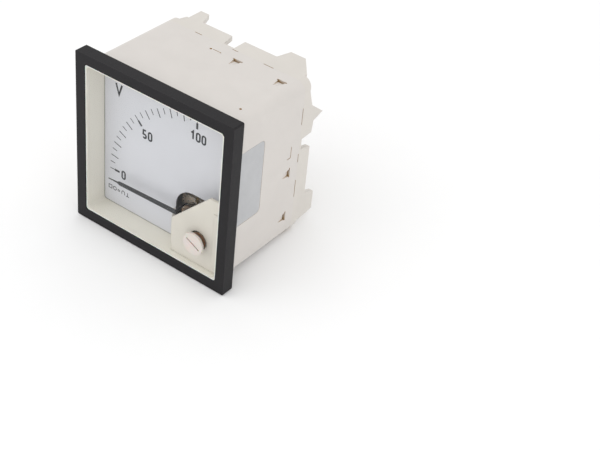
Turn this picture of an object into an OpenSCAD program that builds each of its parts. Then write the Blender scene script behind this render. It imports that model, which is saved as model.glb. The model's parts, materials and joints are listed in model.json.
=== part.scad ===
// Square panel meter with a moving-coil movement and a corner-pivoted 90 degree scale.
// X runs to the right and Z runs up as the dial is read.  Y runs back, away from the reader,
// and is 0 at the front surface of the panel that the meter is let into.

/* [Case] */
// Width and height of the body that passes through the panel
body_w = 66; // [64:0.5:80]
// Width of the bezel rim that overlaps the panel on each side
flange = 3; // [2:0.25:8]
// Thickness of the bezel in front of the panel
bezel_t = 5.2; // [4.8:0.1:8]
// Thickness of the bezel lip over the window
lip_t = 0.4; // [0.4:0.1:1.2]
// Thickness of the body walls
wall = 2; // [1.6:0.1:2.4]
// Outer corner radius of the body
corner_r = 3.8; // [2.5:0.1:5]
// Depth behind the panel of the seam between housing and rear base
seam_y = 39; // [37:0.5:55]
// Thickness of the window
window_t = 1.3; // [1:0.1:1.6]

/* [Rear wall] */
// Height of the terminal chamber wall behind the seam
chamber_h = 7.4; // [6:0.1:10]
// Height of the tabs behind the seam
tab_h = 13.8; // [12:0.1:18]
// Height of the wall at the four corners behind the seam
corner_h = 3.3; // [2:0.1:5]

/* [Dial] */
// Depth of the dial's printed face behind the panel surface
dial_y = 4.3; // [4:0.1:5]
// Thickness of the dial plate
dial_t = 0.5; // [0.3:0.05:0.8]
// Radius of the rounded corner cut away around the pivot
cutout_r = 8.1; // [7:0.1:9]

/* [Movement] */
// Distance of the pivot from the inside of the right-hand wall
pivot_right = 18.2; // [17.5:0.1:19.5]
// Distance of the pivot above the inside of the bottom wall
pivot_up = 15.7; // [15.3:0.1:18]
// Radius of the core magnet
core_r = 8; // [6.6:0.1:8.2]
// Length of the core magnet
core_l = 12; // [10:0.5:14]
// Width of the moving coil
coil_w = 4.6; // [3.5:0.1:5]
// Pointer direction at rest, in degrees anticlockwise from the right as seen from the front
rest_angle = 182; // [180:0.5:183]
// Distance from the pivot to the pointer tip
pointer_l = 37.7; // [30:0.1:39]
// Number of turns in each hairspring
spring_turns = 4; // [3:1:5]

/* [Zero adjuster] */
// Radius of the adjuster's head
adjuster_r = 4.5; // [3.5:0.1:5.5]
// Distance of the eccentric pin from the adjuster's axis
eccentric = 1.3; // [1:0.05:1.5]

/* [Terminals] */
// Width of each square terminal plate
terminal_w = 9; // [8:0.5:11]
// Radius of the terminal screw thread
terminal_screw_r = 2; // [1.5:0.1:2.2]

/* [Hidden] */
$fn = 72;

// Clearances
fit_gap = 0.1;       // moulded parts that slide into each other
seat_gap = 0.05;     // round parts that are glued or clamped together
run_gap = 0.06;      // round parts that turn in each other

// Case
half = body_w / 2;
inner_half = half - wall;
inner_r = 1.2;
bezel_w = body_w + 2 * flange;
opening_w = body_w - 2.6;
window_y = -bezel_t + lip_t;
rim_y = window_y + window_t;
floor_y = seam_y + 0.6;
floor_front = seam_y - 2.4;
tab_y = seam_y + tab_h;
chamber_y = seam_y + chamber_h;
corner_y = seam_y + corner_h;
notch_y = seam_y + 1;

// Snap noses that hold the bezel on the housing
nose_l = 8;
nose_h = 0.35;
nose_y = rim_y / 2 - 0.3;
nose_t = 1.2;

// Clamp-hook slots: offset along each side, clockwise as seen from the front
slot_y = seam_y - 5;
slot_l = 4.2;
slot_t = 0.7;
slot_ramp_l = 4.3;
slot_ramp_h = 0.8;
slot_ramp_tip = 1.2;
top_slots = [6, 26];
side_slots = [3, 23];

// Rear edge of the chamber wall along the top side, then along the right-hand side:
// distance clockwise from the middle of the side, and depth
top_edge = [[-half - 1, corner_y], [-27, corner_y], [-27, tab_y], [-23, tab_y], [-20.7, chamber_y],
            [-6.5, chamber_y], [-5.4, notch_y], [-0.5, notch_y], [-0.5, chamber_y],
            [14.2, chamber_y], [15.9, tab_y], [22.6, tab_y], [30.2, corner_y + 1],
            [half + 1, corner_y + 0.7]];
side_edge = [[-half - 1, corner_y + 0.7], [-28.3, corner_y], [-21.6, chamber_y - 2],
             [-15.8, tab_y - 1], [-14, chamber_y], [-9.2, chamber_y - 0.6], [-8.9, notch_y],
             [-4.4, notch_y], [-3, chamber_y - 0.6], [18.5, chamber_y - 0.4], [20.6, tab_y - 1],
             [28.6, tab_y - 1], [30.4, corner_y], [half + 1, corner_y]];

// Dial
dial_w = body_w - 2 * wall - 0.6;
dial_back = dial_y + dial_t;
ledge_w = 2;
ledge_t = 1.6;

// Pivot, seen from the front
px = inner_half - pivot_right;
pz = -inner_half + pivot_up;
cut_x = px - cutout_r;
cut_z = pz + cutout_r - 0.25;
dial_screw_spots = [[inner_half - 3.6, pz + 11.5], [px - 6, -inner_half + 3.4]];

// Corner mask
mask_y = rim_y + 1;
mask_t = 1;
rib_h = 0.3;
mask_tip = [px - 4.3, pz - 0.8];
mask_top = pz + 16.1;
ramp_foot = 5;
ramp_top = pz - 2.7;
mask_hole_r = 3.8;

// Zero adjuster, seen from the front
ax = px + 8.5;
az = pz - 4.5;
adjuster_reach = norm([ax - px, az - pz]);
adjuster_angle = atan2(az - pz, ax - px);
stem_r = 2.08;
head_proud = 0.6;
pin_r = 0.6;

// Movement radii
former_t = 0.3;
former_r = core_r + 0.5;
winding_r = former_r + former_t + 1.1;
gap_r = winding_r + 0.7;
yoke_r = gap_r + 3.4;
yoke_l = core_l - 2;
ear_r = yoke_r + 3;
ear_w = 6.4;
ear_angle = rest_angle + 42;
arm_angle = 14;
bridge_angles = [20, -90];
bridge_reach = (gap_r + yoke_r) / 2;
boss_r = 2.6;
jewel_screw_r = 1.4;
staff_r = 0.5;
spring_r = 3.6;
collet_r = 1.1;
stud_r = 0.35;
stud_angle = -52;

// Movement depths, front to back
lever_y = 2.2;
lever_t = 0.5;
bridge_y = 3.2;
bridge_t = 1.2;
front_spring_y = 5.3;
spring_t = 0.4;
cross_y = 6.3;
winding_t = 1.2;
coil_gap = 0.6;
core_y = 11;
core_back = core_y + core_l;
coil_front = core_y - coil_gap - winding_t - former_t;
coil_back = core_back + coil_gap + winding_t + former_t;
frame_y = coil_back + 2.6;
frame_t = 2;
frame_back = frame_y + frame_t;
rear_spring_y = coil_back + 1.2;

// Pointer
pointer_y = 0;
pointer_t = 0.25;
riser_r = 4.6;

// Balance cross: direction of each arm from the pointer, and its length
cross_arms = [[180, 7.2], [90, 5.2], [-90, 5.2]];
cross_hub_r = 1.5;
cross_t = 0.6;
cross_mid = cross_y + pointer_t + cross_t / 2;

// Terminals, seen from the front
terminals = [[-3, 15], [15, 6.6]];
pedestal_y = seam_y + 3;
plate_t = 1.2;
tail_r = 0.8;
tail_in = 1.5;
saddle_t = 1.5;
screw_head_r = 3.5;
screw_head_t = 2.4;
polarity_drop = 8.2;
polarity_w = 3.6;
polarity_line = 0.8;

// Round marks of the ejector pins on the rear wall
pin_mark_r = 2;
pin_mark_spots = [[-23, 23], [23, 23], [23, -23], [-23, -23], [0, -8]];

// Blank label on the right-hand side, set into a shallow recess
label_t = 0.15;
label_sunk = 0.02;
label_corner_r = 2;
label_front = 0.5;
label_back = 17;
label_bottom = -11.5;
label_top = 19.8;

// Resistor board
board_w = 24;
board_h = 15;
board_t = 1.6;
board_y = floor_front - 4;
board_x = -17;
board_z = -4;

// Extrudes an outline, drawn as seen from the front, between two depths
module slab(front, back) {
    translate([0, back, 0])
        rotate([90, 0, 0])
            linear_extrude(back - front)
                children();
}

// Round bar with its axis front to back
module bar(r, front, back) {
    slab(front, back)
        circle(r);
}

// Cone with its axis front to back
module taper(r_front, r_back, front, back) {
    translate([0, front, 0])
        rotate([-90, 0, 0])
            cylinder(h = back - front, r1 = r_front, r2 = r_back);
}

// Moves to a point seen from the front
module at(p) {
    translate([p[0], 0, p[1]])
        children();
}

// Moves to the pivot and turns to a direction seen from the front
module from_pivot(angle = 0) {
    translate([px, 0, pz])
        rotate([0, -angle, 0])
            children();
}

// Repeats a feature of the top side on the opposite side, and of the right side on its own
module on_sides(turns) {
    for (turn = turns)
        rotate([0, turn, 0])
            children();
}

// Square with round corners
module rounded_square(w, r) {
    square([w, w - 2 * r], center = true);
    square([w - 2 * r, w], center = true);
    for (sx = [-1, 1], sy = [-1, 1])
        translate([sx * (w / 2 - r), sy * (w / 2 - r)])
            circle(r);
}

// Sector of a ring, centred on the X axis
module ring_sector(r_in, r_out, half_angle) {
    intersection() {
        difference() {
            circle(r_out);
            circle(r_in);
        }
        polygon([[0, 0], 2 * r_out * [cos(half_angle), -sin(half_angle)],
                 2 * r_out * [cos(half_angle), sin(half_angle)]]);
    }
}

// Flat spiral strip from the collet out to the stud
module spiral(r_in, r_out, turns, strip) {
    steps = 24 * turns;
    inner = [for (i = [0:steps])
        (r_in + (r_out - r_in) * i / steps) * [cos(360 * turns * i / steps),
                                               sin(360 * turns * i / steps)]];
    outer = [for (i = [steps:-1:0])
        (r_in + strip + (r_out - r_in) * i / steps) * [cos(360 * turns * i / steps),
                                                       sin(360 * turns * i / steps)]];
    polygon(concat(inner, outer));
}

// Snap noses on the four sides of the housing, or the pockets for them when grown
module snap_noses(grow) {
    for (turn = [0:90:270], side = [-1, 1])
        rotate([0, turn, 0])
            translate([side * half / 2 - nose_l / 2 - grow, nose_y - grow, half - 0.5])
                cube([nose_l + 2 * grow, nose_t + 2 * grow, 0.5 + nose_h + grow]);
}

module bezel_frame() {
    bevel = 0.25;
    color("#2b2a2d")
        difference() {
            slab(-bezel_t, 0)
                rounded_square(bezel_w, 0.6);
            slab(-bezel_t - 1, 1)
                rounded_square(opening_w, 1);
            slab(window_y, 1)
                rounded_square(body_w + 2 * fit_gap, corner_r + fit_gap);
            for (turn = [0:90:270])
                rotate([0, turn, 0])
                    translate([0, -bezel_t, opening_w / 2])
                        rotate([45, 0, 0])
                            cube([opening_w + bevel, bevel, bevel], center = true);
            snap_noses(fit_gap);
        }
}

module window() {
    color("#dfe8ee", 0.25)
        difference() {
            slab(window_y, rim_y)
                rounded_square(body_w - 2 * fit_gap, corner_r);
            at([ax, az])
                bar(stem_r + run_gap, window_y - 1, rim_y + 1);
        }
}

// Slot that takes the hook of a mounting clamp, with the tapered ramp that leads into it
module hook_slot(offset) {
    base = slot_l / 2 - 0.4;
    tip = slot_ramp_tip / 2;
    translate([offset - slot_l / 2, slot_y - slot_t / 2, half - wall - 1])
        cube([slot_l, slot_t, wall + 2]);
    translate([offset, slot_y, half])
        intersection() {
            translate([0, 0, -wall / 2])
                linear_extrude(wall)
                    polygon([[-base, 0], [-tip, -slot_ramp_l - 1], [tip, -slot_ramp_l - 1],
                             [base, 0]]);
            translate([slot_l / 2, 0, 0])
                rotate([90, 0, -90])
                    linear_extrude(slot_l)
                        polygon([[slot_ramp_l, 0.01], [slot_ramp_l, 0], [0, -slot_ramp_h],
                                 [0, 0.01]]);
        }
}

// Fine L-shaped line left by a blanked-off slot
module blind_mark(from, to, foot) {
    depth = 0.25;
    line = 0.3;
    translate([from, slot_y - line, half - depth])
        cube([to - from, line, 1]);
    translate([to - line, slot_y - foot, half - depth])
        cube([line, foot, 1]);
}

// Relief in the housing's rear edge that leaves an open stretch of the seam
module seam_relief(from, to) {
    translate([from, seam_y - 0.3, half - wall / 2])
        cube([to - from, 1, wall]);
}

// Label's outline, round at its rear corners, between two distances from the middle
module label_blank(from, to, grow) {
    rear = label_back + grow;
    low = label_bottom - grow;
    high = label_top + grow;
    r = label_corner_r + grow;
    translate([from, 0, 0])
        rotate([90, 0, 90])
            linear_extrude(to - from) {
                translate([label_front - grow, low])
                    square([rear - r - label_front + grow, high - low]);
                translate([label_front - grow, low + r])
                    square([rear - label_front + grow, high - low - 2 * r]);
                for (z = [low + r, high - r])
                    translate([rear - r, z])
                        circle(r);
            }
}

// Shallow moulded dimple on the top side
module dimple(offset, y, r) {
    translate([offset, y, half - 0.5])
        cylinder(h = 1, r = r);
}

module dial_ledge() {
    difference() {
        slab(dial_back, dial_back + ledge_t)
            rounded_square(body_w - wall, inner_r);
        slab(dial_back - 1, dial_back + ledge_t + 1)
            rounded_square(2 * (inner_half - ledge_w), inner_r);
        translate([px - 3, 0, -half])
            cube([half, 2 * dial_back, pz + half + cutout_r + 1]);
    }
    for (spot = dial_screw_spots)
        at(spot)
            bar(2.4, dial_back, dial_back + 5);
    translate([dial_screw_spots[0][0], dial_back, dial_screw_spots[0][1] - 1])
        cube([inner_half - dial_screw_spots[0][0] + wall / 2, 5, 2]);
    translate([dial_screw_spots[1][0] - 1, dial_back, -inner_half - wall / 2])
        cube([2, 5, dial_screw_spots[1][1] + inner_half + wall / 2]);
}

module housing() {
    color("#dedad4")
        difference() {
            union() {
                difference() {
                    slab(rim_y, seam_y)
                        rounded_square(body_w, corner_r);
                    slab(rim_y - 1, seam_y + 1)
                        rounded_square(2 * inner_half, inner_r);
                }
                dial_ledge();
                snap_noses(0);
            }
            for (spot = dial_screw_spots)
                at(spot)
                    bar(0.7, dial_back - 1, dial_back + 4);
            on_sides([0, 180]) {
                for (offset = top_slots)
                    hook_slot(offset);
                blind_mark(-5.3, -1.6, 0.6);
                seam_relief(-18.2, -14.9);
                seam_relief(-0.4, 2.1);
                seam_relief(14, 18.4);
            }
            on_sides([90, 270]) {
                for (offset = side_slots)
                    hook_slot(offset);
                blind_mark(-8.5, -3.6, 2.2);
                seam_relief(-22.6, -15.6);
                seam_relief(-2.9, 0.7);
                seam_relief(8.8, 16.6);
            }
            label_blank(half - label_sunk - label_t, half + 1, fit_gap);
            dimple(-6.2, slot_y - 0.4, 0.5);
            dimple(26.9, 9.5, 0.5);
        }
}

// Cuts the chamber wall of one side down to its rear edge
module edge_cut(edge) {
    translate([0, 0, half - wall - 1.5])
        linear_extrude(wall + 2.5)
            polygon(concat(edge, [[half + 1, tab_y + 1], [-half - 1, tab_y + 1]]));
}

// Square block under a terminal plate
module pedestal() {
    slab(floor_y - 1, pedestal_y)
        square(terminal_w + 2, center = true);
}

// Raised plus sign, or minus sign, below a terminal
module polarity_mark(plus) {
    slab(floor_y - 0.5, floor_y + 0.3) {
        square([polarity_w, polarity_line], center = true);
        if (plus)
            square([polarity_line, polarity_w], center = true);
    }
}

module rear_base() {
    post_r = 1.8;
    board_posts = [-board_w / 2 + post_r + 0.7, board_w / 2 - post_r - 0.7];
    color("#d9d5cd")
        difference() {
            union() {
                slab(floor_front, floor_y)
                    rounded_square(2 * (inner_half - fit_gap), inner_r);
                difference() {
                    slab(seam_y, tab_y)
                        rounded_square(body_w, corner_r);
                    slab(floor_y, tab_y + 1)
                        rounded_square(2 * inner_half, inner_r);
                    on_sides([0, 180])
                        edge_cut(top_edge);
                    on_sides([90, 270])
                        edge_cut(side_edge);
                }
                for (i = [0, 1])
                    at(terminals[i]) {
                        pedestal();
                        at([0, -polarity_drop])
                            polarity_mark(i == 1);
                    }
                for (turn = [0, 180])
                    from_pivot(ear_angle + turn)
                        at([ear_r, 0])
                            bar(ear_w / 2, frame_back, floor_front + 1);
                for (x = board_posts)
                    at([board_x + x, board_z])
                        bar(post_r, board_y + board_t, floor_front + 1);
            }
            for (turn = [0, 180])
                from_pivot(ear_angle + turn)
                    at([ear_r, 0])
                        bar(1, frame_back - 1, frame_back + 5);
            for (spot = pin_mark_spots)
                at(spot)
                    bar(pin_mark_r, floor_y - 0.15, floor_y + 1);
            for (spot = terminals)
                at(spot) {
                    bar(terminal_screw_r + 0.3, floor_y - 1, pedestal_y + 1);
                    at([-terminal_w / 2 + tail_in, 0])
                        bar(tail_r + fit_gap, floor_front - 1, pedestal_y + 1);
                }
        }
}

// Outline of the mask's front plate
module mask_outline() {
    polygon([mask_tip, [px + 11.6, pz + 15], [px + 12.7, mask_top], [inner_half - 0.1, mask_top],
             [inner_half - 0.1, -inner_half + 0.1], [mask_tip[0], -inner_half + 0.1]]);
}

module corner_mask() {
    edge = inner_half - 0.1;
    color("#e6e0d6")
        difference() {
            union() {
                slab(mask_y, mask_y + mask_t)
                    intersection() {
                        mask_outline();
                        rounded_square(2 * edge, inner_r);
                    }
                // Return walls that stand on the dial
                slab(mask_y, dial_y)
                    intersection() {
                        union() {
                            translate([edge - 1, -edge])
                                square([1, mask_top + edge]);
                            translate([mask_tip[0], -edge])
                                square([edge - mask_tip[0], 1]);
                        }
                        rounded_square(2 * edge, inner_r);
                    }
                // Sloping face that leads down to the dial
                translate([0, 0, -edge])
                    linear_extrude(ramp_top + edge)
                        polygon([[mask_tip[0], mask_y], [mask_tip[0] - ramp_foot, dial_y],
                                 [mask_tip[0] - ramp_foot + 1.2, dial_y],
                                 [mask_tip[0] + 0.9, mask_y + mask_t]]);
                // Raised rib beside the right-hand wall
                slab(mask_y - rib_h, mask_y)
                    translate([edge - 3, -edge + 4.4])
                        square([3, mask_top + edge - 9.8]);
            }
            at([ax, az])
                bar(mask_hole_r, mask_y - 1, mask_y + mask_t + 1);
        }
}

module dial_plate() {
    tab = 5;
    color("#e3e6ea")
        difference() {
            slab(dial_y, dial_back)
                difference() {
                    rounded_square(dial_w, 1);
                    translate([cut_x + cutout_r, cut_z - cutout_r])
                        circle(cutout_r);
                    translate([cut_x + cutout_r, cut_z - half])
                        square([half, half]);
                    translate([cut_x, -inner_half + 7])
                        square([half, cut_z - cutout_r + inner_half - 7]);
                    translate([cut_x + tab, -half])
                        square([half, half / 2]);
                }
            for (spot = dial_screw_spots)
                at(spot)
                    bar(0.95, dial_y - 1, dial_back + 1);
        }
}

// Slotted cheese-head screw with its head at the front
module small_screw(head_r, head_t, thread_r, head_y, tip_y) {
    difference() {
        bar(head_r, head_y - head_t, head_y);
        translate([-head_r - 1, head_y - head_t - 1, -0.2])
            cube([2 * head_r + 2, 1 + head_t / 2, 0.4]);
    }
    bar(thread_r, head_y - 0.1, tip_y);
}

module dial_screws() {
    color("#b9bcc0")
        for (spot = dial_screw_spots)
            at(spot)
                small_screw(1.5, 0.9, 0.65, dial_y, dial_back + 3.5);
}

module zero_adjuster() {
    head_y = window_y - 0.1;
    color("#efe9e6")
        at([ax, az])
            difference() {
                union() {
                    bar(adjuster_r, -bezel_t - head_proud, head_y);
                    bar(stem_r, head_y - 0.1, rim_y + 0.8);
                    taper(stem_r + 0.45, stem_r - 0.1, rim_y + 0.1, rim_y + 0.8);
                    rotate([0, -adjuster_angle, 0])
                        at([-eccentric, 0])
                            bar(pin_r, rim_y, lever_y + lever_t + 0.2);
                }
                rotate([0, 27, 0])
                    translate([-adjuster_r + 1.2, -bezel_t - head_proud - 1, -0.35])
                        cube([2 * adjuster_r - 2.4, 1.9, 0.7]);
            }
}

// Flat lever with a forked arm to the adjuster and a short arm to the spring stud
module zero_lever() {
    slot_w = 2 * (pin_r + 0.08);
    fork_w = slot_w + 1.6;
    stud_at = spring_r + stud_r + 0.12;
    color("#b8794a")
        difference() {
            union() {
                from_pivot() {
                    bar(boss_r + 1, lever_y, lever_y + lever_t);
                    slab(lever_y, lever_y + lever_t) {
                        rotate(adjuster_angle)
                            translate([boss_r, -fork_w / 2])
                                square([adjuster_reach - boss_r + 0.4, fork_w]);
                        rotate(stud_angle)
                            translate([boss_r, -0.6])
                                square([stud_at - boss_r + 0.5, 1.2]);
                    }
                }
                from_pivot(stud_angle)
                    at([stud_at, 0])
                        bar(stud_r, lever_y + 0.1, front_spring_y + spring_t);
            }
            from_pivot()
                bar(boss_r - 0.4 + run_gap, lever_y - 1, lever_y + lever_t + 1);
            from_pivot(adjuster_angle)
                slab(lever_y - 1, lever_y + lever_t + 1)
                    translate([adjuster_reach - 2.8, -slot_w / 2])
                        square([4, slot_w]);
        }
}

module front_bridge() {
    color("#4c3c30")
        difference() {
            union() {
                from_pivot() {
                    bar(boss_r + 0.8, bridge_y, bridge_y + bridge_t);
                    bar(boss_r - 0.4, lever_y - 0.4, bridge_y + 0.1);
                }
                for (angle = bridge_angles)
                    from_pivot(angle) {
                        slab(bridge_y, bridge_y + bridge_t)
                            translate([boss_r, -1.6])
                                square([bridge_reach - boss_r - 1.2, 3.2]);
                        at([bridge_reach, 0])
                            bar(2, bridge_y, core_y + 1);
                    }
            }
            from_pivot()
                bar(jewel_screw_r + seat_gap, lever_y - 1, bridge_y + bridge_t + 1);
            for (angle = bridge_angles)
                from_pivot(angle)
                    at([bridge_reach, 0])
                        bar(0.95, bridge_y - 1, core_y + 2);
        }
}

module bridge_screws() {
    color("#c9c3ac")
        for (angle = bridge_angles)
            from_pivot(angle)
                at([bridge_reach, 0])
                    small_screw(1.6, 0.9, 0.85, bridge_y, core_y + 4);
}

// Slotted threaded plug that carries a jewel in its inner end
module jewel_screw(outer, inner) {
    way = sign(inner - outer);
    difference() {
        bar(jewel_screw_r, min(outer, inner), max(outer, inner));
        translate([-2, outer - 0.5, -0.25])
            cube([4, 1, 0.5]);
        bar(0.8, min(inner, inner - 0.7 * way), max(inner, inner - 0.7 * way) + 0.01);
    }
}

module front_jewel_screw() {
    color("#c8a85a")
        from_pivot()
            jewel_screw(lever_y - 0.9, bridge_y + bridge_t + 0.3);
}

module rear_jewel_screw() {
    color("#c8a85a")
        from_pivot()
            mirror([0, 1, 0])
                jewel_screw(-frame_back - 1.2, -frame_y + 0.5);
}

// Jewel with a small blind cup for the staff's point
module jewel() {
    difference() {
        bar(0.75, 0, 0.6);
        taper(0.02, 0.3, 0.2, 0.61);
    }
}

module pivot_jewels() {
    color("#b03048")
        from_pivot() {
            translate([0, bridge_y + bridge_t - 0.35, 0])
                jewel();
            translate([0, frame_y - 0.15, 0])
                mirror([0, 1, 0])
                    jewel();
        }
}

module yoke_ring() {
    color("#8c8f92")
        difference() {
            from_pivot()
                slab(core_y + 1, core_y + 1 + yoke_l)
                    difference() {
                        circle(yoke_r);
                        circle(gap_r);
                    }
            for (angle = bridge_angles)
                from_pivot(angle)
                    at([bridge_reach, 0])
                        bar(0.9, core_y, core_y + 5);
        }
}

module core_magnet() {
    color("#55585c")
        from_pivot()
            bar(core_r, core_y, core_back);
}

module movement_frame() {
    yoke_back = core_y + 1 + yoke_l;
    hub_r = 6;
    color("#a9abad")
        difference() {
            from_pivot(ear_angle) {
                slab(frame_y, frame_back) {
                    translate([-ear_r, -ear_w / 2])
                        square([2 * ear_r, ear_w]);
                    circle(hub_r);
                    for (side = [-1, 1])
                        translate([side * ear_r, 0])
                            circle(ear_w / 2);
                }
                for (turn = [0, 180])
                    rotate([0, turn, 0]) {
                        slab(core_y + 1, yoke_back + seat_gap)
                            ring_sector(core_r + seat_gap, gap_r - seat_gap, arm_angle);
                        slab(yoke_back + seat_gap, frame_y + 0.1)
                            ring_sector(core_r + seat_gap, yoke_r, arm_angle);
                    }
            }
            from_pivot()
                bar(jewel_screw_r + seat_gap, frame_y - 1, frame_back + 1);
            for (turn = [0, 180])
                from_pivot(ear_angle + turn)
                    at([ear_r, 0])
                        bar(1.35, frame_y - 1, frame_back + 1);
        }
}

module movement_screws() {
    color("#c9c3ac")
        for (turn = [0, 180])
            from_pivot(ear_angle + turn)
                at([ear_r, 0])
                    small_screw(2.3, 1.4, 0.95, frame_y, frame_back + 4.5);
}

module rear_spring_arm() {
    stud_at = spring_r + stud_r + 0.12;
    plate_y = frame_back + 0.05;
    color("#b8794a") {
        from_pivot(stud_angle) {
            slab(plate_y, plate_y + 0.5)
                difference() {
                    union() {
                        circle(3.2);
                        translate([0, -0.9])
                            square([8.2, 1.8]);
                    }
                    circle(jewel_screw_r + seat_gap);
                }
            translate([7.4, rear_spring_y, -0.6])
                cube([0.8, plate_y - rear_spring_y + 0.1, 1.2]);
            translate([stud_at - stud_r, rear_spring_y, -0.6])
                cube([8 - stud_at, spring_t, 1.2]);
        }
    }
}

// Rectangular frame of the coil, seen from the side, with rounded corners
module coil_outline(reach, front, back, r) {
    translate([-reach, front + r])
        square([2 * reach, back - front - 2 * r]);
    translate([-reach + r, front])
        square([2 * (reach - r), back - front]);
    for (side = [-1, 1], end = [front + r, back - r])
        translate([side * (reach - r), end])
            circle(r);
}

module coil_former() {
    color("#c3c6c9")
        from_pivot(rest_angle)
            translate([0, 0, -coil_w / 2 - 0.2])
                linear_extrude(coil_w + 0.4)
                    difference() {
                        coil_outline(former_r + former_t, coil_front + winding_t,
                                     coil_back - winding_t, 0.8);
                        coil_outline(former_r, core_y - coil_gap, core_back + coil_gap, 0.5);
                    }
}

module coil_winding() {
    color("#b4622e")
        from_pivot(rest_angle)
            translate([0, 0, -coil_w / 2])
                linear_extrude(coil_w)
                    difference() {
                        coil_outline(winding_r, coil_front, coil_back, 1.6);
                        coil_outline(former_r + former_t, coil_front + winding_t,
                                     coil_back - winding_t, 0.8);
                    }
}

module front_staff() {
    color("#a7abb0")
        from_pivot() {
            bar(1.6, coil_front - 0.4, coil_front);
            bar(staff_r, front_spring_y, coil_front);
            taper(0.05, staff_r, bridge_y + bridge_t + 0.05, front_spring_y);
        }
}

module rear_staff() {
    tip = frame_y - 0.45;
    color("#a7abb0")
        from_pivot() {
            bar(1.6, coil_back, coil_back + 0.4);
            bar(staff_r, coil_back, tip - 0.6);
            taper(staff_r, 0.05, tip - 0.6, tip);
        }
}

// Spiral spring that runs from the collet on the staff to the stud
module hairspring(y) {
    slab(y, y + spring_t)
        rotate(stud_angle)
            spiral(collet_r, spring_r, spring_turns, 0.12);
}

module spring_collets() {
    color("#c8a85a")
        from_pivot()
            for (y = [front_spring_y, rear_spring_y])
                slab(y, y + spring_t)
                    difference() {
                        circle(collet_r);
                        circle(staff_r + 0.02);
                    }
}

module front_hairspring() {
    color("#b5703c")
        from_pivot()
            hairspring(front_spring_y);
}

module rear_hairspring() {
    color("#b5703c")
        from_pivot()
            hairspring(rear_spring_y);
}

module balance_cross() {
    color("#8f9296")
        from_pivot(rest_angle) {
            slab(cross_y + pointer_t, cross_y + pointer_t + cross_t)
                difference() {
                    circle(cross_hub_r);
                    circle(staff_r + 0.02);
                }
            for (arm = cross_arms)
                rotate([0, -arm[0], 0])
                    translate([cross_hub_r - 0.2, cross_mid, 0])
                        rotate([0, 90, 0])
                            cylinder(h = arm[1] - cross_hub_r + 0.2, r = 0.25);
        }
}

// Weight screwed along an arm of the cross
module weight(angle, inner, length, r) {
    rotate([0, -angle, 0])
        translate([inner, cross_mid, 0])
            rotate([0, 90, 0])
                difference() {
                    cylinder(h = length, r = r);
                    translate([0, 0, -1])
                        cylinder(h = length + 2, r = 0.27);
                }
}

module balance_weights() {
    color("#c9a552")
        from_pivot(rest_angle) {
            weight(180, 4.4, 2.6, 1.36);
            weight(90, 3.4, 1.2, 0.8);
            weight(-90, 3.4, 1.2, 0.8);
        }
}

module pointer() {
    bar_w = 2.1;
    tip_w = 1.7;
    neck = pointer_l - 4.2;
    color("#44474b")
        from_pivot(rest_angle) {
            slab(pointer_y, pointer_y + pointer_t)
                polygon([[riser_r, -bar_w / 2], [neck - 1.3, -tip_w / 2], [neck, -0.25],
                         [pointer_l, -0.12], [pointer_l, 0.12], [neck, 0.25],
                         [neck - 1.3, tip_w / 2], [riser_r, bar_w / 2]]);
            slab(pointer_y, cross_y + pointer_t)
                translate([riser_r, -0.7])
                    square([0.3, 1.4]);
            slab(cross_y, cross_y + pointer_t)
                difference() {
                    union() {
                        circle(cross_hub_r);
                        translate([0, -0.7])
                            square([riser_r + 0.3, 1.4]);
                    }
                    circle(staff_r + 0.02);
                }
        }
}

module terminal_plates() {
    color("#c7a95c")
        for (spot = terminals)
            at(spot)
                difference() {
                    union() {
                        slab(pedestal_y, pedestal_y + plate_t)
                            square(terminal_w, center = true);
                        at([-terminal_w / 2 + tail_in, 0])
                            bar(tail_r, floor_front - 1.6, pedestal_y + 0.1);
                    }
                    bar(terminal_screw_r + run_gap, pedestal_y - 1, pedestal_y + plate_t + 1);
                }
}

module terminal_saddles() {
    y = pedestal_y + plate_t;
    color("#c9cbcd")
        for (spot = terminals)
            at(spot)
                difference() {
                    slab(y, y + saddle_t)
                        square([terminal_w - 1, terminal_w - 1], center = true);
                    for (side = [-1, 1])
                        translate([side * (terminal_screw_r + 1.1) - 0.7, y - 1, -terminal_w])
                            cube([1.4, 1.8, 2 * terminal_w]);
                    bar(terminal_screw_r + 0.2, y - 1, y + saddle_t + 1);
                }
}

module terminal_screws() {
    y = pedestal_y + plate_t + saddle_t;
    color("#cdcfd1")
        for (spot = terminals)
            at(spot)
                difference() {
                    union() {
                        bar(screw_head_r, y, y + screw_head_t);
                        bar(terminal_screw_r, floor_y - 0.8, y + 0.1);
                    }
                    translate([-screw_head_r - 1, y + screw_head_t / 2, -0.5])
                        cube([2 * screw_head_r + 2, screw_head_t, 1]);
                    translate([-0.5, y + screw_head_t / 2, -screw_head_r + 1])
                        cube([1, screw_head_t, 2 * screw_head_r - 2]);
                }
}

module resistor_board() {
    color("#7b6a35")
        at([board_x, board_z])
            slab(board_y, board_y + board_t)
                square([board_w, board_h], center = true);
}

// Axial film resistor with its bent leads soldered to the board
module series_resistor() {
    span = 16;
    y = board_y - 2.2;
    color("#3f6ea3")
        at([board_x, board_z + 3.5]) {
            translate([-4.5, y, 0])
                rotate([0, 90, 0])
                    cylinder(h = 9, r = 1.9);
            translate([-span / 2, y, 0])
                rotate([0, 90, 0])
                    cylinder(h = span, r = 0.35);
            for (side = [-1, 1]) {
                at([side * span / 2, 0])
                    bar(0.35, y, board_y);
                translate([side * span / 2, y, 0])
                    sphere(0.35);
            }
        }
}

// Insulated wire run of straight stretches with round bends
module wire(points, r) {
    for (i = [0:len(points) - 2]) {
        run = points[i + 1] - points[i];
        translate(points[i])
            rotate([0, acos(run[2] / norm(run)), atan2(run[1], run[0])])
                cylinder(h = norm(run), r = r, $fn = 24);
    }
    for (i = [1:len(points) - 2])
        translate(points[i])
            sphere(r, $fn = 24);
}

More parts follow.
